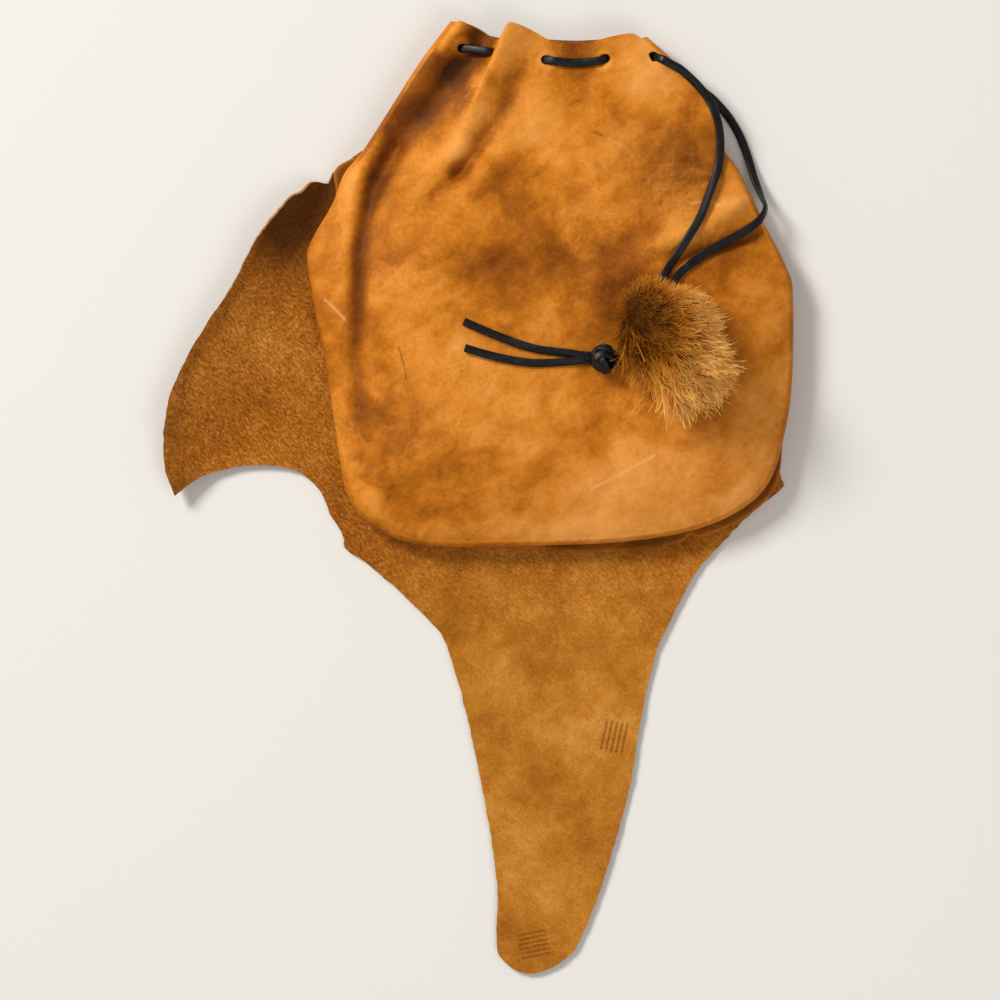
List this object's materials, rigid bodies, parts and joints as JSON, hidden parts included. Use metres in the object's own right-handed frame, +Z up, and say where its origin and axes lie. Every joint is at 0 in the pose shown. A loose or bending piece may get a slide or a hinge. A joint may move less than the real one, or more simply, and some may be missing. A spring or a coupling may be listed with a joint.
{
  "type": "leather drawstring pouch on a raw hide",
  "caption": "Soft leather pouch with a gathered neck, a black lace drawstring ending in a knot and fur puff, lying on a raw-edged hide piece.",
  "frame": {"origin": "centre of the pouch's and hide's outline in plan, on the surface that they lie on", "axes": "+Z up from the surface, +Y along the pouch from its bottom to its gathered neck, +X to the side where the free strands leave the neck"},
  "size_m": [0.3152, 0.475, 0.059],
  "materials": {
    "grain_leather": "waxed pull-up leather, satin",
    "back_leather": "waxed pull-up leather, satin",
    "suede": "raw suede flesh side, matte",
    "black_lace": "dyed leather lace, satin",
    "fur": "soft brown fur, matte"
  },
  "bodies": {
    "root": {"pouch_front_panel": "grain_leather", "pouch_back_panel": "back_leather", "hide_backing": "suede", "drawstring_neck_run": "black_lace", "drawstring_inner_strand": "black_lace", "drawstring_outer_strand": "black_lace", "drawstring_knot": "black_lace", "drawstring_upper_tail": "black_lace", "drawstring_lower_tail": "black_lace", "fur_puff": "fur"}
  },
  "joints": []
}
